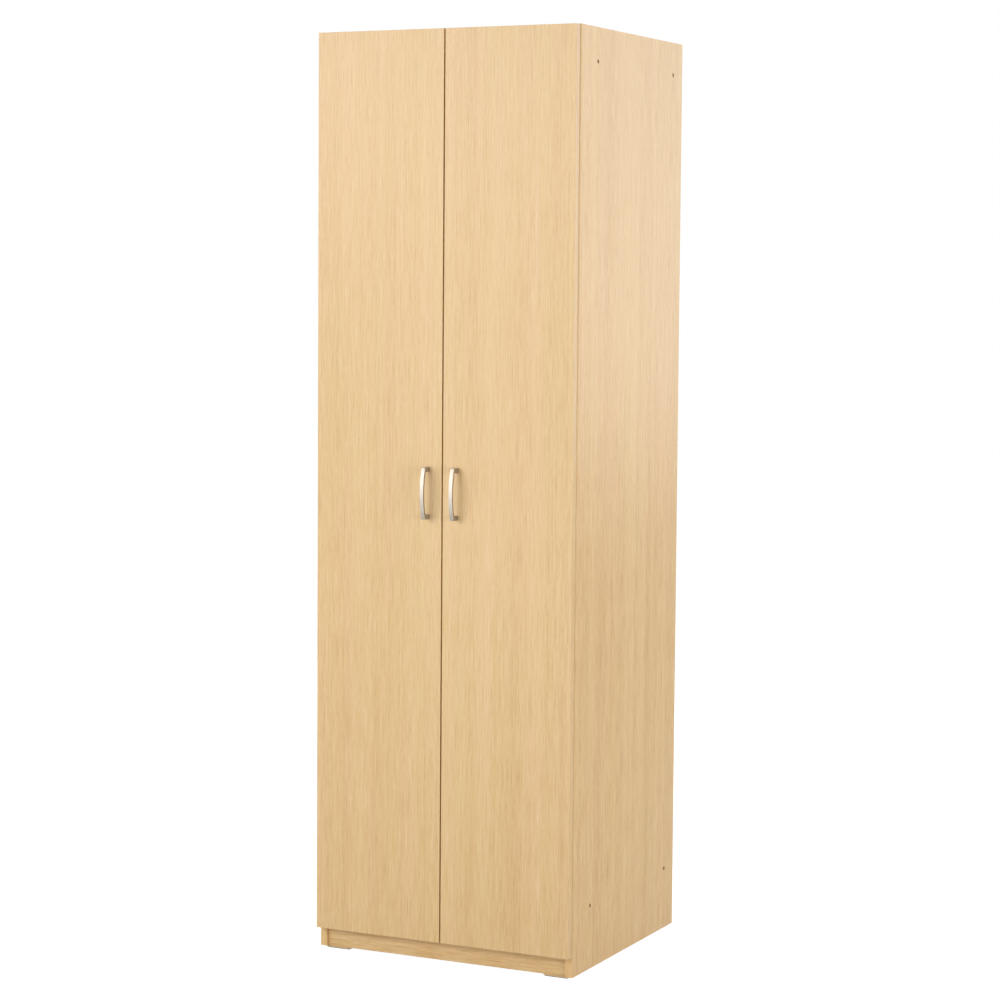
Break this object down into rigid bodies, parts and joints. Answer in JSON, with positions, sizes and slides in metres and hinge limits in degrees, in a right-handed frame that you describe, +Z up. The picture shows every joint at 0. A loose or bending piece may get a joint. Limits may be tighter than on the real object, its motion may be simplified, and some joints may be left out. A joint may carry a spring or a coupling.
{
  "type": "wardrobe",
  "caption": "Tall narrow wardrobe with paired overlay doors on concealed link hinges, bow handles, a hat shelf and a hanger rail.",
  "frame": {"origin": "middle of the bounding box, on the floor under the feet", "axes": "+X to the right seen from the front, the doors face -Y, +Z up"},
  "size_m": [0.55, 0.538, 1.8],
  "materials": {
    "maple_foil_board": "satin printed maple foil",
    "back_hardboard": "printed maple foil inside, bare hardboard outside",
    "satin_nickel": "satin nickel plate",
    "chromed_steel": "bright chrome plate",
    "nickel_plated_steel": "bright nickel plate",
    "nickel_plated_zinc": "nickel plated die casting",
    "zinc_plated_steel": "zinc plate",
    "die_cast_zinc": "raw die casting",
    "beech": "fluted beech dowel",
    "beige_plastic": "moulded beige plastic",
    "grey_rubber": "matt rubber",
    "clear_bumper": "milky elastomer"
  },
  "bodies": {
    "carcass": {"left_side_panel": "maple_foil_board", "right_side_panel": "maple_foil_board", "top_panel": "maple_foil_board", "bottom_panel": "maple_foil_board", "hat_shelf": "maple_foil_board", "plinth_board": "maple_foil_board", "rear_plinth_board": "maple_foil_board", "back_panel": "back_hardboard", "hanger_rail": "chromed_steel", "rail_sockets": "nickel_plated_zinc", "rail_socket_screws": "zinc_plated_steel", "panel_dowels": "beech", "cam_locks": "die_cast_zinc", "cam_bolts": "zinc_plated_steel", "corner_feet": "beige_plastic", "foot_soles": "grey_rubber", "foot_screws": "zinc_plated_steel", "left_hinge_plates": "nickel_plated_steel", "left_plate_screws": "zinc_plated_steel", "left_hinge_arms": "nickel_plated_steel", "left_arm_screws": "zinc_plated_steel", "left_arm_pins": "nickel_plated_steel", "right_hinge_plates": "nickel_plated_steel", "right_plate_screws": "zinc_plated_steel", "right_hinge_arms": "nickel_plated_steel", "right_arm_screws": "zinc_plated_steel", "right_arm_pins": "nickel_plated_steel"},
    "left_outer_links": {"left_outer_links": "nickel_plated_steel"},
    "left_inner_links": {"left_inner_links": "nickel_plated_steel"},
    "left_door": {"left_door": "maple_foil_board", "left_hinge_cups": "nickel_plated_steel", "left_cup_screws": "zinc_plated_steel", "left_cup_pins": "nickel_plated_steel", "left_handle": "satin_nickel", "left_handle_screws": "zinc_plated_steel", "left_door_bumpers": "clear_bumper"},
    "right_outer_links": {"right_outer_links": "nickel_plated_steel"},
    "right_inner_links": {"right_inner_links": "nickel_plated_steel"},
    "right_door": {"right_door": "maple_foil_board", "right_hinge_cups": "nickel_plated_steel", "right_cup_screws": "zinc_plated_steel", "right_cup_pins": "nickel_plated_steel", "right_handle": "satin_nickel", "right_handle_screws": "zinc_plated_steel", "right_door_bumpers": "clear_bumper"}
  },
  "joints": [
    {"name": "left_outer_links_turn", "type": "hinge", "parent": "carcass", "child": "left_outer_links", "pos_m": [-0.24, -0.222, 0], "axis": [0, 0, -1], "range_deg": [-40, 0]},
    {"name": "left_door_swing", "type": "hinge", "parent": "left_outer_links", "child": "left_door", "pos_m": [-0.262, -0.2292, 0], "axis": [0, 0, -1], "range_deg": [0, 140]},
    {"name": "left_inner_links_turn", "type": "hinge", "parent": "carcass", "child": "left_inner_links", "pos_m": [-0.24, -0.2315, 0], "axis": [0, 0, -1], "range_deg": [-30, 0]},
    {"name": "right_outer_links_turn", "type": "hinge", "parent": "carcass", "child": "right_outer_links", "pos_m": [0.24, -0.222, 0], "axis": [0, 0, 1], "range_deg": [-40, 0]},
    {"name": "right_door_swing", "type": "hinge", "parent": "right_outer_links", "child": "right_door", "pos_m": [0.262, -0.2292, 0], "axis": [0, 0, 1], "range_deg": [0, 140]},
    {"name": "right_inner_links_turn", "type": "hinge", "parent": "carcass", "child": "right_inner_links", "pos_m": [0.24, -0.2315, 0], "axis": [0, 0, 1], "range_deg": [-30, 0]}
  ],
  "couplings": [
    {"joint": "left_outer_links_turn", "follows": "left_door_swing", "ratio": -0.28571},
    {"joint": "left_inner_links_turn", "follows": "left_door_swing", "ratio": -0.21429},
    {"joint": "right_outer_links_turn", "follows": "right_door_swing", "ratio": -0.28571},
    {"joint": "right_inner_links_turn", "follows": "right_door_swing", "ratio": -0.21429}
  ]
}
